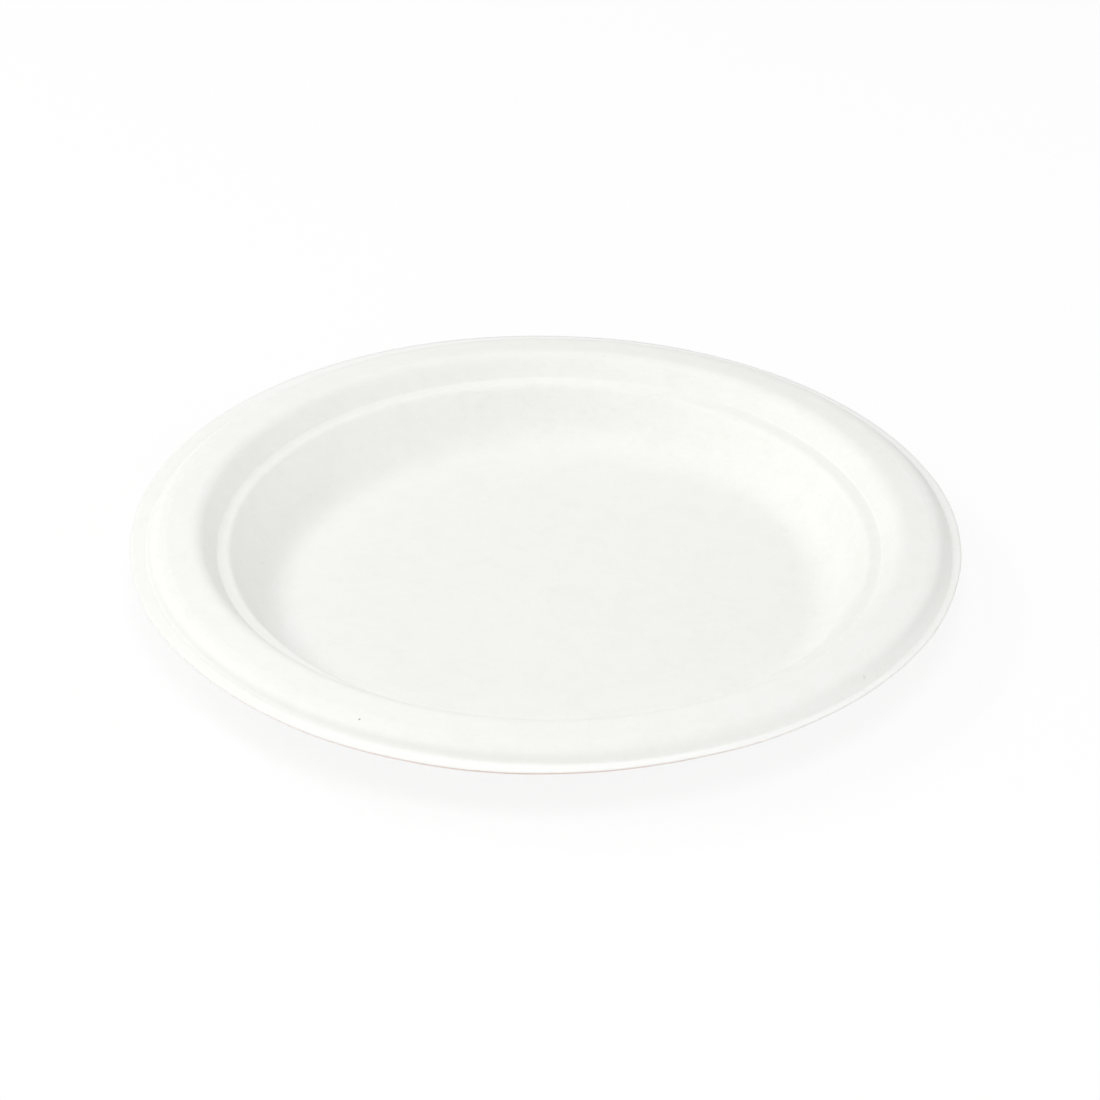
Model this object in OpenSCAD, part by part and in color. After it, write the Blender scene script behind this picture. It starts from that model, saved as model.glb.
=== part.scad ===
// Round plate of moulded white pulp, pressed as one thin wall of even thickness.
// The wall is followed from the middle of the floor out to the trimmed lip:
// each bend turns it from one slope to the next, and a straight run follows.
// Bend radii are to the middle of the wall. Lengths in millimetres, +Z up,
// origin in the middle of the underside.

/* [Plate] */
// Diameter over the trimmed lip
plate_d = 230; // [150:1:330]
// Thickness of the pressed pulp
wall_t = 0.6; // [0.4:0.05:1.2]

/* [Well] */
// Height from the floor to the outer edge of the stacking ledge
well_depth = 14.8; // [10:0.1:30]
// Slope of the well's wall, in degrees
wall_angle = 58; // [35:1:70]
// Bend from the floor into the wall
well_bend_r = 13.4; // [3:0.1:18]

/* [Stacking ledge] */
// Width of the ledge
ledge_w = 2.3; // [1:0.1:8]
// Slope of the ledge, rising outwards, in degrees
ledge_angle = 9; // [0:1:20]
// Bend from the wall onto the ledge
ledge_bend_r = 2.2; // [0.8:0.1:5]
// Bend from the ledge into the riser
riser_bend_r = 1; // [0.7:0.1:3]

/* [Rim] */
// Height from the ledge to the top of the crown
rim_rise = 5.9; // [4:0.1:14]
// Slope of the riser, in degrees
riser_angle = 52; // [35:1:70]
// Bend from the riser onto the crown
crown_inner_r = 4.4; // [1:0.1:6]
// Width of the crown's straight run
crown_w = 6.1; // [2:0.1:14]
// Fall of the crown towards the outside, in degrees
crown_angle = 5.5; // [0:0.5:10]

/* [Outer side of the rim] */
// Bend from the crown onto the shoulder
shoulder_bend_r = 2; // [1:0.1:5]
// Width of the shoulder outside the crown
shoulder_w = 1.2; // [0.2:0.1:5]
// Fall of the shoulder towards the outside, in degrees
shoulder_angle = 15; // [11:1:40]
// Bend from the shoulder into the outer slope
crown_outer_r = 6; // [1:0.1:12]
// Width of the straight run of the outer slope
slope_w = 1.3; // [0.2:0.1:6]
// Fall of the outer slope, in degrees
slope_angle = 46; // [20:1:60]

/* [Trimmed lip] */
// Width of the flat lip outside the rim
lip_w = 3.4; // [1:0.1:6]
// Fall of the lip towards its edge, in degrees
lip_angle = 9; // [0:1:15]
// Bend from the outer slope onto the lip
lip_bend_r = 1; // [0.7:0.1:4]

/* [Hidden] */
$fn = 180;
pulp_white = [0.93, 0.93, 0.91];
// Largest turn between two points of a bend, in degrees
bend_step = 4;

// Straight runs of the wall, named by their place in the lists below
FLOOR = 0;
WALL = 1;
LEDGE = 2;
RISER = 3;
CROWN = 4;
SHOULDER = 5;
SLOPE = 6;
LIP = 7;

// Slope of each run, rising outwards, and the bend at its outer end
slopes = [0, wall_angle, ledge_angle, riser_angle,
          -crown_angle, -shoulder_angle, -slope_angle, -lip_angle];
radii = [well_bend_r, ledge_bend_r, riser_bend_r, crown_inner_r,
         shoulder_bend_r, crown_outer_r, lip_bend_r];

// Travel outwards and upwards while a bend turns the wall from one slope to another
function bend_travel(r, from, to) =
    sign(to - from) * r * [sin(to) - sin(from), cos(from) - cos(to)];
bends = [for (i = [FLOOR : SLOPE]) bend_travel(radii[i], slopes[i], slopes[i + 1])];

// Height of the crown's crest over the end of the riser
crest_h = bend_travel(crown_inner_r, riser_angle, 0).y;
// What the bends leave of each height for its sloping run
wall_h = well_depth - bends[FLOOR].y - bends[WALL].y - ledge_w * tan(ledge_angle);
riser_h = rim_rise - bends[LEDGE].y - crest_h;

// Travel outwards along each sloping run, and what they leave for the flat floor
rim_widths = [wall_h / tan(wall_angle), ledge_w, riser_h / tan(riser_angle),
              crown_w, shoulder_w, slope_w, lip_w];
function total(list, i = 0) = i < len(list) ? list[i] + total(list, i + 1) : 0;
floor_r = plate_d / 2 - total(rim_widths) - total([for (b = bends) b.x]);
runs = [for (i = [FLOOR : LIP])
    let (w = i == FLOOR ? floor_r : rim_widths[i - 1]) [w, w * tan(slopes[i])]];

// Where each run starts on the middle line of the wall
starts = [for (i = FLOOR, p = [0, wall_t / 2]; i <= LIP;
    p = i < LIP ? p + runs[i] + bends[i] : p, i = i + 1) p];

// Direction square to the wall, to its upper side, where its slope is a
function normal(a) = [-sin(a), cos(a)];

// Points of bend i, on the side that lies off from the middle line
function bend_points(i, off) =
    let (turn = slopes[i + 1] - slopes[i],
         r = sign(turn) * radii[i],
         centre = starts[i] + runs[i] + r * normal(slopes[i]),
         steps = max(1, ceil(abs(turn) / bend_step)))
    [for (k = [0 : steps]) centre + (off - r) * normal(slopes[i] + turn * k / steps)];

// One side of the wall from the middle to the upright cut edge of the lip
function side_points(off) = concat(
    [starts[FLOOR] + off * normal(0)],
    [for (i = [FLOOR : SLOPE], p = bend_points(i, off)) p],
    [starts[LIP] + runs[LIP] + [0, off / cos(lip_angle)]]);
function reversed(list) = [for (i = [len(list) - 1 : -1 : 0]) list[i]];

// The plate: one wall of even thickness turned about the upright axis
module plate() {
    color(pulp_white)
        rotate_extrude()
            polygon(concat(side_points(-wall_t / 2), reversed(side_points(wall_t / 2))));
}

plate();
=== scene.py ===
"""Dresses the round plate of moulded white pulp and sets it in a plain, softly lit studio.

The plate is one thin wall. Its section is followed from the axis out to the trimmed lip as
straight runs and round bends, and the section is carried round the axis as one numpy surface.
"""
import logging
import math
from dataclasses import dataclass, field
from enum import Enum, IntEnum
from typing import Any, Union

import bpy
import numpy as np
from mathutils import Matrix, Vector


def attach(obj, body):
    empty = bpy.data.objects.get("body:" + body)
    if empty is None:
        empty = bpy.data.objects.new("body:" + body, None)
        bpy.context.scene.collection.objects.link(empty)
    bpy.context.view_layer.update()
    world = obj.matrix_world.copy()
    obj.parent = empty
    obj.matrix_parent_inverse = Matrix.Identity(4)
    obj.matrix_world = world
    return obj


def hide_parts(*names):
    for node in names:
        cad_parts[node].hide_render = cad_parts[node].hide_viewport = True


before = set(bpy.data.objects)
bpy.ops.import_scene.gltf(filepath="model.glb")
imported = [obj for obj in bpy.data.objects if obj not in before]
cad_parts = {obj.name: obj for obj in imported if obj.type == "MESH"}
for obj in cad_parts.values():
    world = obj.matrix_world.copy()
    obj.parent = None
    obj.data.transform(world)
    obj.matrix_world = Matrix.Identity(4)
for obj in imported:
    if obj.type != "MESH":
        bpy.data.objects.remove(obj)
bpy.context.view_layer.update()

LOG = logging.getLogger("plate")
MM = 0.001
PURE_WHITE = (1.0, 1.0, 1.0, 1.0)
NOISE_MIDDLE = 0.5
Number = Union[int, float]
Operand = Union["Value", int, float]
Colour = tuple[float, float, float]
Paint = Union["Value", Colour]


class Operation(Enum):
    """Math node operations that the shader expressions use."""

    ADD = "ADD"
    SUBTRACT = "SUBTRACT"
    MULTIPLY = "MULTIPLY"
    MAXIMUM = "MAXIMUM"


class Run(IntEnum):
    """The straight runs of the wall's section, from the axis outwards."""

    FLOOR = 0
    WALL = 1
    LEDGE = 2
    RISER = 3
    CROWN = 4
    SHOULDER = 5
    SLOPE = 6
    LIP = 7


class Side(Enum):
    """The two faces of the plate's wall, with the way to each from its middle line."""

    UPPER = 1.0
    UNDER = -1.0


class Share(Enum):
    """Mesh attributes, 0 to 1, that tell the finish where on the plate a point lies and how much
    painted highlight or shade it takes.
    """

    # how much painted highlight the lip takes
    LIP = "lip_share"
    # how much painted shade the cut edge takes
    CUT = "cut_share"
    # how much painted shade a point takes
    CREASE = "crease_share"
    UNDER = "under_share"


class Sketch:
    """Adds nodes to one node tree."""

    def __init__(self, tree: bpy.types.NodeTree) -> None:
        """Empties the tree and keeps it.

        Args:
            tree: the node tree of a material or of the world.
        """
        self.tree = tree
        tree.nodes.clear()

    def node(self, kind: str, settings: dict[str, Any] | None = None,
             sockets: dict[Any, Any] | None = None) -> bpy.types.Node:
        """Adds one node, with its settings first and then its sockets.

        Args:
            kind: the node's type, such as ShaderNodeTexNoise.
            settings: attributes of the node, such as a Math node's operation.
            sockets: a value, a Value or an output socket for each input, by name or number.

        Returns:
            The new node.
        """
        made = self.tree.nodes.new(kind)
        for name, value in (settings or {}).items():
            setattr(made, name, value)
        for name, value in (sockets or {}).items():
            self.feed(made.inputs[name], value)
        return made

    def feed(self, socket: bpy.types.NodeSocket, value: Any) -> None:
        """Links a Value or an output to the socket, or sets a plain number or colour on it.

        Args:
            socket: the input to feed.
            value: a Value, an output socket, a number or a sequence of numbers.
        """
        if isinstance(value, Value):
            self.tree.links.new(value.socket, socket)
        elif isinstance(value, bpy.types.NodeSocket):
            self.tree.links.new(value, socket)
        else:
            socket.default_value = value

    def value(self, kind: str, settings: dict[str, Any] | None = None,
              sockets: dict[Any, Any] | None = None, output: str | int = 0) -> "Value":
        """Adds one node and wraps one of its outputs.

        Args:
            kind: the node's type.
            settings: attributes of the node.
            sockets: what feeds each input.
            output: name or number of the output.

        Returns:
            The wrapped output.
        """
        return Value(self, self.node(kind, settings, sockets).outputs[output])


class Value:
    """What varies over the surface: an output socket, on which Python maths adds Math nodes."""

    def __init__(self, sketch: Sketch, socket: bpy.types.NodeSocket) -> None:
        """Wraps one output socket.

        Args:
            sketch: the tree that the socket belongs to.
            socket: the output.
        """
        self.sketch = sketch
        self.socket = socket

    def _math(self, operation: Operation, first: Operand, second: Operand,
              clamp: bool = False) -> "Value":
        """Adds one Math node on two operands.

        Args:
            operation: what the node works out.
            first: the first operand.
            second: the second operand.
            clamp: whether the result is held between 0 and 1.

        Returns:
            The result.
        """
        settings = {"operation": operation.value, "use_clamp": clamp}
        return self.sketch.value("ShaderNodeMath", settings, {0: first, 1: second})

    def __add__(self, other: Operand) -> "Value":
        """self + other."""
        return self._math(Operation.ADD, self, other)

    def __radd__(self, other: Number) -> "Value":
        """other + self."""
        return self._math(Operation.ADD, other, self)

    def __sub__(self, other: Operand) -> "Value":
        """self - other."""
        return self._math(Operation.SUBTRACT, self, other)

    def __rsub__(self, other: Number) -> "Value":
        """other - self."""
        return self._math(Operation.SUBTRACT, other, self)

    def __mul__(self, other: Operand) -> "Value":
        """self * other."""
        return self._math(Operation.MULTIPLY, self, other)

    def __rmul__(self, other: Number) -> "Value":
        """other * self."""
        return self._math(Operation.MULTIPLY, other, self)

    def most(self, other: Operand) -> "Value":
        """The larger of self and other."""
        return self._math(Operation.MAXIMUM, self, other)

    def clamped(self) -> "Value":
        """self held between 0 and 1."""
        return self._math(Operation.ADD, self, 0.0, clamp=True)


@dataclass
class WallSection:
    """Half section of the plate's wall, in metres and degrees.

    The middle line starts on the axis and is a chain of straight runs with a round bend
    between each two. Bend radii are to the middle line.
    """

    plate_d: float = 230.0 * MM
    wall_t: float = 0.6 * MM
    well_depth: float = 14.8 * MM
    wall_angle: float = 58.0
    well_bend_r: float = 13.4 * MM
    ledge_w: float = 2.3 * MM
    ledge_angle: float = 9.0
    ledge_bend_r: float = 2.2 * MM
    riser_bend_r: float = 1.0 * MM
    rim_rise: float = 5.9 * MM
    riser_angle: float = 52.0
    crown_inner_r: float = 4.4 * MM
    crown_w: float = 6.1 * MM
    crown_angle: float = 5.5
    shoulder_bend_r: float = 2.0 * MM
    shoulder_w: float = 1.2 * MM
    shoulder_angle: float = 15.0
    crown_outer_r: float = 6.0 * MM
    slope_w: float = 1.3 * MM
    slope_angle: float = 46.0
    lip_w: float = 3.4 * MM
    lip_angle: float = 9.0
    lip_bend_r: float = 1.0 * MM
    bend_points: int = 8
    floor_points: int = 10
    run_points: tuple[int, ...] = (3, 2, 2, 4, 2, 1, 4)

    def slopes(self) -> np.ndarray:
        """Slope of each straight run, in radians, from the floor to the lip."""
        return np.radians([0.0, self.wall_angle, self.ledge_angle, self.riser_angle,
                           -self.crown_angle, -self.shoulder_angle, -self.slope_angle,
                           -self.lip_angle])

    def radii(self) -> np.ndarray:
        """Radius of the bend at the outer end of each run but the last."""
        return np.array([self.well_bend_r, self.ledge_bend_r, self.riser_bend_r,
                         self.crown_inner_r, self.shoulder_bend_r, self.crown_outer_r,
                         self.lip_bend_r])

    def bends(self) -> np.ndarray:
        """Travel (outwards, upwards) of each bend.

        A bend of radius r that turns the wall from slope a to slope b travels
        r (sin b - sin a) outwards and r (cos a - cos b) upwards, both negated where b < a.

        Returns:
            One row of two lengths for each bend.
        """
        a, b = self.slopes()[:-1], self.slopes()[1:]
        turned = np.sign(b - a) * self.radii()
        outwards, upwards = np.sin(b) - np.sin(a), np.cos(a) - np.cos(b)
        return np.stack([turned * outwards, turned * upwards], axis=1)

    def runs(self) -> np.ndarray:
        """Travel (outwards, upwards) of each straight run.

        The bends' share is taken from each height, and what is left divided by the tangent of
        the slope is the run's width. The floor takes what the other widths leave of the radius.

        Returns:
            One row of two lengths for each run.
        """
        outwards, upwards = self.bends().T
        tangent = np.tan(self.slopes())
        crest = self.crown_inner_r * (1.0 - math.cos(math.radians(self.riser_angle)))
        ledge_h = self.ledge_w * tangent[Run.LEDGE]
        wall_h = self.well_depth - upwards[Run.FLOOR] - upwards[Run.WALL] - ledge_h
        riser_h = self.rim_rise - upwards[Run.LEDGE] - crest
        widths = np.array([0.0, wall_h / tangent[Run.WALL], self.ledge_w,
                           riser_h / tangent[Run.RISER], self.crown_w, self.shoulder_w,
                           self.slope_w, self.lip_w])
        widths[Run.FLOOR] = self.plate_d / 2 - widths.sum() - outwards.sum()
        return np.stack([widths, widths * tangent], axis=1)

    def middle_line(self) -> tuple[np.ndarray, np.ndarray, np.ndarray]:
        """Points of the middle line from near the axis to the lip's edge.

        On a run the point moves evenly. On a bend the slope changes evenly from a to b, and the
        point lies at the bend's start plus its travel up to that slope.

        Returns:
            Points (outwards, upwards), the slope at each, and how far along the lip each lies,
            0 before the lip and 1 at its edge.
        """
        slopes, radii, bends, runs = self.slopes(), self.radii(), self.bends(), self.runs()
        counts = (self.floor_points,) + self.run_points
        start = np.array([0.0, self.wall_t / 2])
        points, angles, lips = [], [], []
        for i in Run:
            share = np.arange(1, counts[i] + 1)[:, None] / (counts[i] + (i < Run.LIP))
            points.append(start + share * runs[i])
            angles.append(np.full(counts[i], slopes[i]))
            lips.append(share[:, 0] if i == Run.LIP else np.zeros(counts[i]))
            start = start + runs[i]
            if i < Run.LIP:
                a, b = slopes[i], slopes[i + 1]
                turn = np.linspace(a, b, self.bend_points)
                outwards, upwards = np.sin(turn) - math.sin(a), math.cos(a) - np.cos(turn)
                travel = np.sign(b - a) * radii[i] * np.stack([outwards, upwards], axis=1)
                points.append(start + travel)
                angles.append(turn)
                lips.append(np.zeros(self.bend_points))
                start = start + bends[i]
        return np.concatenate(points), np.concatenate(angles), np.concatenate(lips)


@dataclass(frozen=True)
class Swell:
    """A share that rises and falls round the plate.

    The side is an angle at which it is largest, in degrees from +X towards +Y. It swells
    count times round the plate, and a higher power makes each swell narrower.
    """

    least: float
    most: float
    side: float
    count: int = 1
    power: int = 1

    def share(self, angle: np.ndarray) -> np.ndarray:
        """least + (most - least) ((1 + cos(count (t - side))) / 2) ^ power at each angle t.

        Args:
            angle: angles round the plate, in radians.

        Returns:
            Shares from 0 to 1, one for each angle.
        """
        wave = (1.0 + np.cos(self.count * (angle - math.radians(self.side)))) / 2
        return self.least + (self.most - self.least) * wave ** self.power


@dataclass(frozen=True)
class ShadeBand:
    """A band round the plate along which shade is painted into the colour as a greyer line, in
    metres.

    The radius is the line's distance from the axis and the width is that of its soft edge.
    """

    radius: float
    width: float
    depth: Swell

    def share(self, radius: np.ndarray, angle: np.ndarray) -> np.ndarray:
        """A bell about the line: depth(t) exp(-((r - radius) / width) ^ 2).

        Args:
            radius: distances from the axis.
            angle: angles round the plate, in radians, in a shape that goes with radius.

        Returns:
            Shares from 0 to 1, in the shape of radius.
        """
        return self.depth.share(angle) * np.exp(-((radius - self.radius) / self.width) ** 2)


@dataclass(frozen=True)
class HandTrim:
    """How the lip's cut edge departs from a circle about the moulded axis, in metres.

    The trimming die sat off the axis by the shift, and the soft sheet gave here and there by a
    few tenths of a millimetre. Each wave is (crests round the plate, height, phase).
    """

    shift: tuple[float, float] = (-1.2 * MM, 0.8 * MM)
    waves: tuple[tuple[int, float, float], ...] = (
        (2, 0.31 * MM, 2.6), (3, 0.27 * MM, -0.2), (4, 0.17 * MM, 0.5),
        (6, 0.12 * MM, -1.3), (11, 0.05 * MM, 5.2), (19, 0.03 * MM, 1.9),
        (37, 0.02 * MM, 3.3))

    def outwards(self, angle: np.ndarray) -> np.ndarray:
        """How far the cut lies outside the true circle at each angle round the plate.

        It is the shift's part along the angle, plus a sum of cosine waves, each with its own
        number of crests round the plate, height and phase.

        Args:
            angle: angles round the plate, in radians.

        Returns:
            Lengths, one for each angle.
        """
        away = self.shift[0] * np.cos(angle) + self.shift[1] * np.sin(angle)
        for crests, height, phase in self.waves:
            away = away + height * np.cos(crests * angle + phase)
        return away


@dataclass(frozen=True)
class Unevenness:
    """The slight waviness that drying leaves in a pressed pulp wall, as heights in metres.

    Each wave is (crests to the metre along X, along Y, height, phase).
    """

    waves: tuple[tuple[float, float, float, float], ...] = (
        (9.0, 4.0, 0.050 * MM, 0.4), (-6.0, 13.0, 0.040 * MM, 2.1),
        (17.0, -9.0, 0.022 * MM, 4.0), (21.0, 19.0, 0.014 * MM, 1.3),
        (-29.0, 24.0, 0.009 * MM, 5.5))

    def height(self, x: np.ndarray, y: np.ndarray) -> np.ndarray:
        """Sum of plane cosine waves at each place.

        Args:
            x: places along X.
            y: places along Y.

        Returns:
            Heights, in the shape of x.
        """
        total = np.zeros_like(x)
        for along_x, along_y, height, phase in self.waves:
            total = total + height * np.cos(2 * np.pi * (along_x * x + along_y * y) + phase)
        return total


@dataclass(frozen=True)
class RimRipple:
    """Fine ripples that the forming leaves along the shoulder of the rim, as heights in metres.

    Each wave is (crests round the plate, height, phase).
    """

    radius: float = 107.5 * MM
    spread: float = 2.5 * MM
    waves: tuple[tuple[int, float, float], ...] = (
        (17, 0.030 * MM, 0.7), (29, 0.030 * MM, 2.9), (47, 0.025 * MM, 4.4),
        (73, 0.020 * MM, 1.1), (94, 0.012 * MM, 5.0))

    def height(self, radius: np.ndarray, angle: np.ndarray) -> np.ndarray:
        """Sum of cosine waves round the plate, under a bell-shaped swell about the shoulder.

        Args:
            radius: distances from the axis.
            angle: angles round the plate, in radians, in a shape that goes with radius.

        Returns:
            Heights, in the shape of radius.
        """
        swell = np.exp(-((radius - self.radius) / self.spread) ** 2)
        return swell * sum(height * np.cos(crests * angle + phase)
                           for crests, height, phase in self.waves)


@dataclass(frozen=True)
class Grain:
    """One scale of variation in the pulp, in features to the metre.

    Tone is its weight in the blend from white to cream, and relief its weight in the height.
    """

    scale: float
    detail: float = 2.0
    distortion: float = 0.0
    tone: float = 0.0
    relief: float = 0.0


@dataclass(frozen=True)
class Speck:
    """A small dark bit of bark in the pulp: its place on the plate and its radius, in metres."""

    x: float
    y: float
    radius: float
    strength: float


@dataclass(frozen=True)
class PulpFinish:
    """Matte white moulded pulp: soft mottling, short fibres, a felt surface and a few specks,
    with a painted highlight on the lip and painted shade along creases and on the cut edge.

    Colours are linear. A fibre is a streak of the fibre grain, drawn out to its length along
    each of the turns, in radians, where its noise is over the start.
    """

    name: str = "moulded_pulp"
    white: Colour = (0.858, 0.863, 0.840)
    cream: Colour = (0.835, 0.839, 0.804)
    # painted highlight: the lighter colour laid on the lip
    lip_highlight: Colour = (0.900, 0.905, 0.892)
    # painted shade: the greyer colour laid along the bands round the rim
    crease_shade: Colour = (0.760, 0.765, 0.742)
    # painted shade: the darker, tan colour laid on the cut edge
    cut: Colour = (0.740, 0.610, 0.560)
    fleck: Colour = (0.700, 0.670, 0.600)
    speck: Colour = (0.110, 0.095, 0.070)
    cream_share: float = 0.35
    cream_most: float = 0.5
    clouds: Grain = Grain(38.0, distortion=0.3, tone=1.6)
    blotches: Grain = Grain(130.0, detail=1.0, tone=3.2, relief=3.0)
    mottle: Grain = Grain(420.0, tone=2.4, relief=0.7)
    felt: Grain = Grain(2400.0, relief=0.4)
    fibre: Grain = Grain(1100.0, detail=1.0, distortion=0.6, relief=0.5)
    octave_gain: float = 0.6
    fibre_turns: tuple[float, ...] = (0.3, 1.4, 2.5)
    fibre_length: float = 6.0
    fibre_start: float = 0.62
    fibre_gain: float = 6.0
    fleck_most: float = 0.09
    relief_strength: float = 0.6
    relief_depth: float = 0.1 * MM
    roughness: float = 0.85
    specular: float = 0.25
    speck_fade: float = 0.5
    specks: tuple[Speck, ...] = (
        Speck(-48.2 * MM, -96.3 * MM, 0.36 * MM, 0.60),
        Speck(83.1 * MM, -72.0 * MM, 0.50 * MM, 0.16),
        Speck(-80.2 * MM, 5.6 * MM, 0.55 * MM, 0.08),
        Speck(-78.9 * MM, -14.5 * MM, 0.45 * MM, 0.06),
        Speck(46.2 * MM, -5.7 * MM, 0.50 * MM, 0.04),
        Speck(38.7 * MM, 19.5 * MM, 0.40 * MM, 0.05))

    def _noise(self, sketch: Sketch, place: Value, grain: Grain) -> Value:
        """A noise that wanders about one half.

        Args:
            sketch: the material's tree.
            place: the coordinates.
            grain: its scale, finer octaves and distortion.

        Returns:
            The noise.
        """
        return sketch.value("ShaderNodeTexNoise", {"noise_dimensions": "3D"}, {
            "Vector": place, "Scale": grain.scale, "Detail": grain.detail,
            "Roughness": self.octave_gain, "Distortion": grain.distortion}, "Fac")

    def _fibres(self, sketch: Sketch, place: Value) -> Value:
        """Short fibres that lie three ways: noises on turned and drawn-out places.

        Args:
            sketch: the material's tree.
            place: the coordinates.

        Returns:
            A value near 1 on a fibre and 0 elsewhere.
        """
        strands = None
        for turn in self.fibre_turns:
            laid = sketch.value("ShaderNodeMapping", {"vector_type": "TEXTURE"}, {
                "Vector": place, "Rotation": (0.0, 0.0, turn),
                "Scale": (self.fibre_length, 1.0, 1.0)})
            over = self._noise(sketch, laid, self.fibre) - self.fibre_start
            streaks = (over * self.fibre_gain).clamped()
            strands = streaks if strands is None else strands.most(streaks)
        return strands

    def _blend(self, sketch: Sketch, factor: Value, first: Paint, second: Paint) -> Value:
        """Mixes two colours by a factor.

        Args:
            sketch: the material's tree.
            factor: 0 for the first colour, 1 for the second.
            first: a colour or a Value of one.
            second: a colour or a Value of one.

        Returns:
            The mixed colour.
        """
        mixed = sketch.node("ShaderNodeMix", {"data_type": "RGBA"})
        sketch.feed(mixed.inputs["Factor"], factor)
        sketch.feed(mixed.inputs["A"], first if isinstance(first, Value) else (*first, 1.0))
        sketch.feed(mixed.inputs["B"], second if isinstance(second, Value) else (*second, 1.0))
        return Value(sketch, mixed.outputs["Result"])

    def _speckled(self, sketch: Sketch, place: Value, colour: Value) -> Value:
        """Lays the specks over a colour: each fades over the outer part of its radius.

        Args:
            sketch: the material's tree.
            place: the coordinates.
            colour: the colour under the specks.

        Returns:
            The colour with the specks.
        """
        level = sketch.value("ShaderNodeVectorMath", {"operation": "MULTIPLY"},
                             {0: place, 1: (1.0, 1.0, 0.0)})
        for spot in self.specks:
            away = sketch.value("ShaderNodeVectorMath", {"operation": "DISTANCE"},
                                {0: level, 1: (spot.x, spot.y, 0.0)}, "Value")
            steepness = 1.0 / (spot.radius * self.speck_fade)
            dark = ((spot.radius - away) * steepness).clamped() * spot.strength
            colour = self._blend(sketch, dark, colour, self.speck)
        return colour

    def material(self) -> bpy.types.Material:
        """Makes the material.

        Returns:
            The new material.
        """
        made = bpy.data.materials.new(self.name)
        made.use_nodes = True
        sketch = Sketch(made.node_tree)
        place = sketch.value("ShaderNodeTexCoord", output="Object")
        grains = (self.clouds, self.blotches, self.mottle, self.felt)
        noises = [self._noise(sketch, place, grain) for grain in grains]
        fibres = self._fibres(sketch, place)
        lip, cut, shade_band, under = (
            sketch.value("ShaderNodeAttribute", {"attribute_name": share.value}, output="Fac")
            for share in (Share.LIP, Share.CUT, Share.CREASE, Share.UNDER))

        creamy = sum((noise - NOISE_MIDDLE) * grain.tone for noise, grain in zip(noises, grains)
                     if grain.tone) + self.cream_share
        colour = self._blend(sketch, creamy.clamped() * self.cream_most, self.white, self.cream)
        colour = self._blend(sketch, fibres * self.fleck_most, colour, self.fleck)
        # painted highlight: lightens the lip
        colour = self._blend(sketch, lip, colour, self.lip_highlight)
        # painted shade: greys the colour along the bands
        colour = self._blend(sketch, shade_band, colour, self.crease_shade)
        # painted shade: darkens and tans the cut edge
        colour = self._blend(sketch, cut, colour, self.cut)
        colour = self._speckled(sketch, place, colour)

        height = sum((noise * grain.relief for noise, grain in zip(noises, grains)
                      if grain.relief), fibres * self.fibre.relief)
        relief = sketch.value("ShaderNodeBump", None, {
            "Strength": self.relief_strength, "Distance": self.relief_depth,
            "Height": height * (under + 1.0)})
        shader = sketch.node("ShaderNodeBsdfPrincipled", None, {
            "Base Color": colour, "Roughness": self.roughness,
            "Specular IOR Level": self.specular, "Normal": relief})
        sketch.node("ShaderNodeOutputMaterial", None, {"Surface": shader.outputs[0]})
        return made


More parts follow.
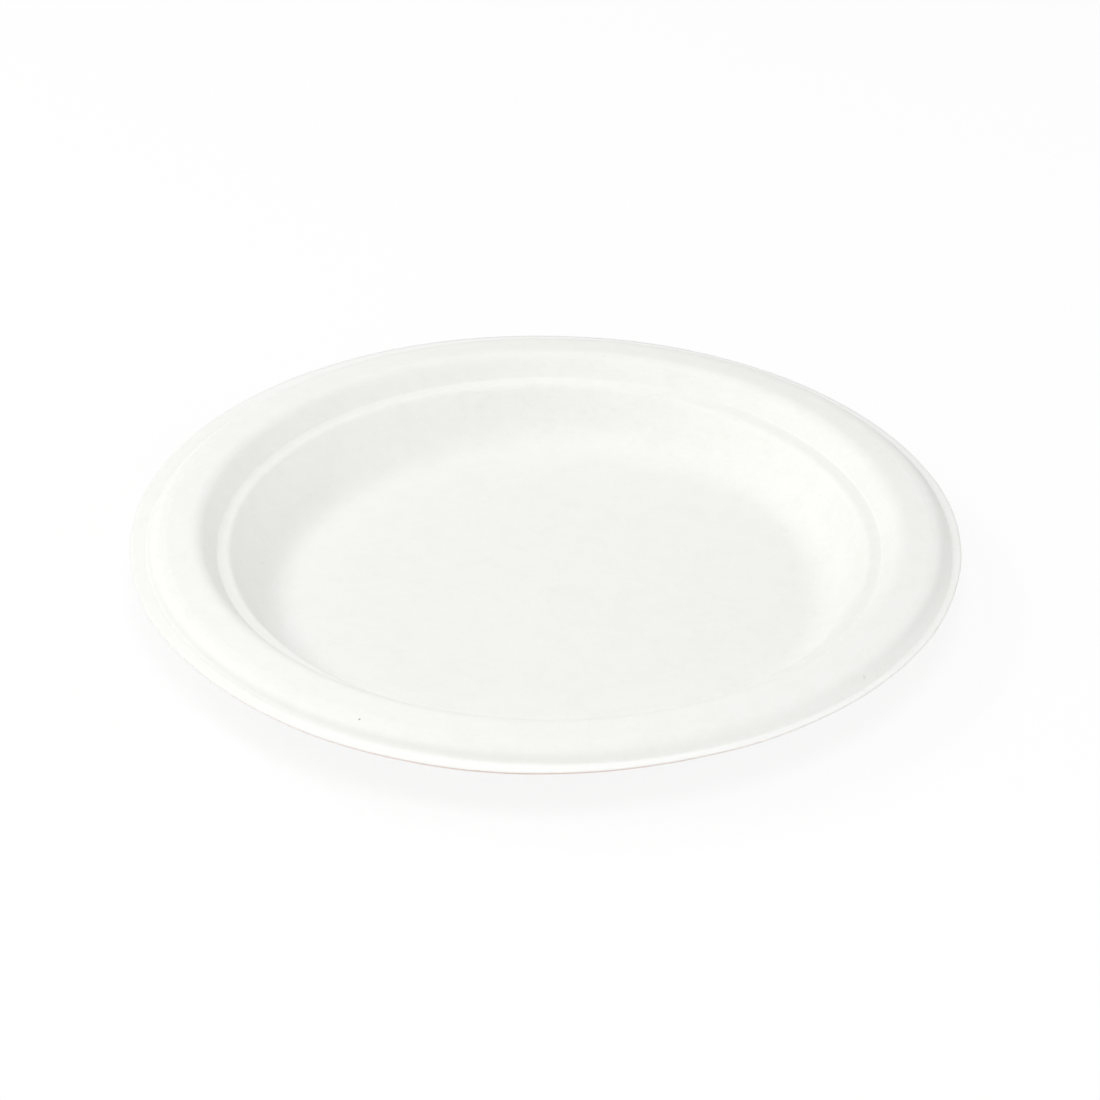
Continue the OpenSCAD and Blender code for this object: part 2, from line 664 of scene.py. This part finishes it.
@dataclass
class PulpPlate:
    """The moulded plate as one closed surface with its natural small departures from true."""

    section: WallSection = field(default_factory=WallSection)
    trim: HandTrim = field(default_factory=HandTrim)
    unevenness: Unevenness = field(default_factory=Unevenness)
    ripple: RimRipple = field(default_factory=RimRipple)
    finish: PulpFinish = field(default_factory=PulpFinish)
    # painted shade: a greyer line at the crease between the outer slope and the lip, strongest
    # at two opposite sides, and a broader greyer band on the outer slope at one side
    shade_bands: tuple[ShadeBand, ...] = (
        ShadeBand(110.6 * MM, 0.8 * MM, Swell(0.0, 0.80, 225.0, count=2)),
        ShadeBand(108.9 * MM, 1.3 * MM, Swell(0.0, 0.70, 348.0, power=16)))
    # painted highlight on the lip, strongest at the front and the back
    lip_highlight_sides: Swell = Swell(0.2, 1.0, 270.0, count=2)
    # painted shade on the cut edge, strongest at the front side
    edge_shade_sides: Swell = Swell(0.12, 1.0, 266.0, power=12)
    steps_round: int = 560
    edge_points: int = 5
    edge_round: float = 0.35
    pinch: float = 0.5
    pinch_power: int = 8

    def surface(self) -> tuple[np.ndarray, dict[Share, np.ndarray]]:
        """The plate's skin as a grid: rows follow the section, columns go round the axis.

        Row order is the upper side from the axis outwards, the cut edge, and the under side
        back to the axis. A point is (r cos t, r sin t, z), where r and z come from the section:
        the middle line moved by half the wall square to it. Towards the cut the under side
        closes up by the pinch times a power of the share of the lip. The cut edge is a half
        ellipse that bulges by edge_round times half its height. The lip's rows are stretched
        so that its edge meets the trim, both sides get the same ripples and unevenness in
        height, and the lowest point stands on the floor.

        Returns:
            An array of rows x columns x 3, and rows x columns of each share.
        """
        line, angle, lip = self.section.middle_line()
        angles = np.linspace(0.0, 2 * np.pi, self.steps_round, endpoint=False)
        lip_slope = math.tan(math.radians(self.section.lip_angle))
        half = self.section.wall_t / 2
        square = half * np.stack([-np.sin(angle), np.cos(angle)], axis=1)
        closed = (1.0 - self.pinch * lip ** self.pinch_power)[:, None]
        upper = line + Side.UPPER.value * square
        under = (line + Side.UNDER.value * closed * square)[::-1]
        bulge = np.linspace(np.pi / 2, -np.pi / 2, self.edge_points + 2)[1:-1]
        middle, reach = (upper[-1] + under[0]) / 2, np.linalg.norm(upper[-1] - under[0]) / 2
        round_edge = np.stack([self.edge_round * np.cos(bulge), np.sin(bulge)], axis=1)
        edge = middle + reach * round_edge
        r, z = np.concatenate([upper, edge, under]).T[:, :, None]
        stretch = np.concatenate([lip, np.ones(self.edge_points), lip[::-1]])[:, None]
        away = stretch * self.trim.outwards(angles)
        radius = r + away
        x, y = radius * np.cos(angles), radius * np.sin(angles)
        z = z - away * lip_slope
        z = z + self.unevenness.height(x, y) + self.ripple.height(radius, angles)
        row = np.arange(len(r))[:, None]
        below = row >= len(upper) + self.edge_points
        on_edge = (row >= len(upper)) & ~below
        # painted highlight on the lip
        shares = {Share.LIP: (stretch > 0) * self.lip_highlight_sides.share(angles),
                  # painted shade on the cut edge
                  Share.CUT: on_edge * self.edge_shade_sides.share(angles),
                  # painted shade along the bands
                  Share.CREASE: sum(shade_band.share(radius, angles) for shade_band in self.shade_bands),
                  Share.UNDER: np.broadcast_to(below.astype(float), radius.shape)}
        return np.stack([x, y, z - z.min()], axis=-1), shares

    def build(self) -> bpy.types.Object:
        """Makes the mesh object: the grid's faces, closed round the axis and at both poles.

        Returns:
            The plate, dressed in its finish.
        """
        grid, shares = self.surface()
        rows, columns, _ = grid.shape
        poles = np.stack([grid[0].mean(axis=0), grid[-1].mean(axis=0)])
        vertices = np.concatenate([grid.reshape(-1, 3), poles])
        row, column = np.meshgrid(np.arange(rows - 1), np.arange(columns), indexing="ij")
        after = (column + 1) % columns
        here, outer = row * columns, (row + 1) * columns
        quads = np.stack([here + column, outer + column, outer + after, here + after], axis=-1)
        around = np.arange(columns)
        following = (around + 1) % columns
        last = (rows - 1) * columns
        top_pole, low_pole = (np.full(columns, rows * columns + pole) for pole in (0, 1))
        top_fan = np.stack([top_pole, around, following], axis=-1)
        low_fan = np.stack([low_pole, last + following, last + around], axis=-1)
        faces = quads.reshape(-1, 4).tolist() + top_fan.tolist() + low_fan.tolist()
        mesh = bpy.data.meshes.new("pulp_plate")
        mesh.from_pydata(vertices.tolist(), [], faces)
        mesh.polygons.foreach_set("use_smooth", np.ones(len(mesh.polygons), dtype=bool))
        for share, values in shares.items():
            layer = mesh.attributes.new(share.value, "FLOAT", "POINT")
            everywhere = np.append(values.ravel(), [values[0].mean(), values[-1].mean()])
            layer.data.foreach_set("value", everywhere.astype(np.float32))
        mesh.materials.append(self.finish.material())
        mesh.update()
        piece = bpy.data.objects.new("pulp_plate", mesh)
        bpy.context.scene.collection.objects.link(piece)
        return piece


@dataclass(frozen=True)
class SoftBox:
    """A square studio lamp that faces the plate.

    Azimuth is the side it stands on, in degrees from +X towards +Y, and power is in watts.
    """

    name: str
    azimuth: float
    elevation: float
    distance: float
    size: float
    power: float
    tint: Colour = (1.0, 1.0, 1.0)

    def place(self, target: Vector) -> None:
        """Sets the lamp up, facing the target.

        Args:
            target: the point that it faces.
        """
        a, e = math.radians(self.azimuth), math.radians(self.elevation)
        way = Vector((math.cos(a) * math.cos(e), math.sin(a) * math.cos(e), math.sin(e)))
        data = bpy.data.lights.new(self.name, "AREA")
        data.shape = "SQUARE"
        data.size = self.size
        data.energy = self.power
        data.color = self.tint
        lamp = bpy.data.objects.new(self.name, data)
        lamp.location = target + way * self.distance
        lamp.rotation_euler = way.to_track_quat("Z", "Y").to_euler()
        bpy.context.scene.collection.objects.link(lamp)


@dataclass
class Studio:
    """Pale floor, soft lamps and an even sky round the plate."""

    sky: float = 0.415
    sky_tint: Colour = (1.0, 0.975, 0.93)
    floor_size: float = 12.0
    floor_white: float = 0.95
    shadow_strength: float = 0.13
    aim_height: float = 10.0 * MM
    lamps: tuple[SoftBox, ...] = (
        SoftBox("key_left", 190.0, 42.0, 1.4, 0.4, 3.17, (1.0, 0.98, 0.90)),
        SoftBox("key_behind", 150.0, 42.0, 1.4, 0.4, 4.55, (0.93, 0.945, 1.0)),
        SoftBox("high_front", 270.0, 65.0, 1.4, 0.5, 6.85, (0.94, 0.965, 1.0)),
        SoftBox("fill_right", 0.0, 28.0, 1.4, 0.4, 2.0, (0.90, 0.93, 1.0)),
        SoftBox("low_left", 180.0, 12.0, 1.4, 0.4, 1.8),
        SoftBox("low_right", 0.0, 12.0, 1.4, 0.4, 2.1),
        SoftBox("low_front", 270.0, 12.0, 1.4, 0.4, 1.6),
    )

    def build(self) -> bpy.types.Object:
        """Makes the floor, the lamps and the world.

        Returns:
            The floor.
        """
        half = self.floor_size / 2
        corners = [(-half, -half, 0), (half, -half, 0), (half, half, 0), (-half, half, 0)]
        mesh = bpy.data.meshes.new("floor")
        mesh.from_pydata(corners, [], [(0, 1, 2, 3)])
        mesh.materials.append(self._floor_material())
        floor = bpy.data.objects.new("floor", mesh)
        bpy.context.scene.collection.objects.link(floor)
        for lamp in self.lamps:
            lamp.place(Vector((0.0, 0.0, self.aim_height)))
        self._sky()
        return floor

    def _seen(self, sketch: Sketch) -> Value:
        """Tells what is looked at from the light that it gives.

        Args:
            sketch: the tree of the floor or of the world.

        Returns:
            1 for a camera, mirror or glass ray, and 0 for any other.
        """
        path = sketch.node("ShaderNodeLightPath")
        seen = Value(sketch, path.outputs["Is Camera Ray"])
        seen = seen.most(Value(sketch, path.outputs["Is Glossy Ray"]))
        return seen.most(Value(sketch, path.outputs["Is Transmission Ray"]))

    def _floor_material(self) -> bpy.types.Material:
        """A pale floor that looks white where it is lit and keeps the plate's shadow.

        Returns:
            The new material.
        """
        made = bpy.data.materials.new("studio_floor")
        made.use_nodes = True
        sketch = Sketch(made.node_tree)
        pale = (self.floor_white,) * 3 + (1.0,)
        matte = sketch.node("ShaderNodeBsdfDiffuse", None, {"Color": pale})
        white = sketch.node("ShaderNodeEmission", None, {"Color": PURE_WHITE, "Strength": 1.0})
        whitened = self._seen(sketch) * (1.0 - self.shadow_strength)
        shown = sketch.node("ShaderNodeMixShader", None, {
            0: whitened, 1: matte.outputs[0], 2: white.outputs[0]})
        sketch.node("ShaderNodeOutputMaterial", None, {"Surface": shown.outputs[0]})
        return made

    def _sky(self) -> None:
        """An even sky that lights the plate at a plain level and looks white."""
        world = bpy.data.worlds.new("studio_sky")
        bpy.context.scene.world = world
        world.use_nodes = True
        sketch = Sketch(world.node_tree)
        seen = self._seen(sketch)
        level = seen + (1.0 - seen) * self.sky
        colour = sketch.node("ShaderNodeMix", {"data_type": "RGBA"}, {
            "Factor": seen, "A": (*self.sky_tint, 1.0), "B": PURE_WHITE})
        sky = sketch.node("ShaderNodeBackground", None,
                          {"Color": colour.outputs["Result"], "Strength": level})
        sketch.node("ShaderNodeOutputWorld", None, {"Surface": sky.outputs[0]})


@dataclass(frozen=True)
class PhotoCamera:
    """The camera at the photograph's angle.

    Pixels are in the photograph's frame of 1100 x 1100, counted from its top left corner.
    """

    frame_px: int = 1100
    elevation: float = 31.7
    roll: float = 0.6
    distance: float = 1.155
    px_per_metre: float = 3606.0
    centre_px: tuple[float, float] = (549.0, 539.2)
    centre_height: float = 15.9 * MM
    sensor: float = 36.0
    nearest: float = 0.05
    farthest: float = 40.0

    def build(self) -> bpy.types.Object:
        """Makes the camera.

        It stands off the plate's centre by the distance, and is moved sideways and up in its
        own plane until that centre lands on its pixel.

        Returns:
            The camera.
        """
        e, turn = math.radians(self.elevation), math.radians(self.roll)
        back = Vector((0.0, -math.cos(e), math.sin(e)))
        level_right, level_up = Vector((1.0, 0.0, 0.0)), Vector((0.0, math.sin(e), math.cos(e)))
        right = level_right * math.cos(turn) + level_up * math.sin(turn)
        up = level_up * math.cos(turn) - level_right * math.sin(turn)
        middle = self.frame_px / 2
        across = (middle - self.centre_px[0]) / self.px_per_metre
        upwards = (self.centre_px[1] - middle) / self.px_per_metre
        target = Vector((0.0, 0.0, self.centre_height)) + right * across + up * upwards
        data = bpy.data.cameras.new("photo_camera")
        data.sensor_width = self.sensor
        data.lens = self.px_per_metre * self.distance * self.sensor / self.frame_px
        data.clip_start, data.clip_end = self.nearest, self.farthest
        camera = bpy.data.objects.new("photo_camera", data)
        turned = Matrix((right, up, back)).transposed().to_4x4()
        camera.matrix_world = Matrix.Translation(target + back * self.distance) @ turned
        bpy.context.scene.collection.objects.link(camera)
        bpy.context.scene.camera = camera
        return camera


def main() -> None:
    logging.basicConfig(level=logging.INFO, format="%(name)s: %(message)s")
    bpy.context.scene.view_settings.view_transform = "Standard"
    PhotoCamera().build()
    Studio().build()
    plate = PulpPlate().build()
    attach(plate, "root")
    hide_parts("plate")
    LOG.info("plate: %d faces", len(plate.data.polygons))


if __name__ == "__main__":
    main()
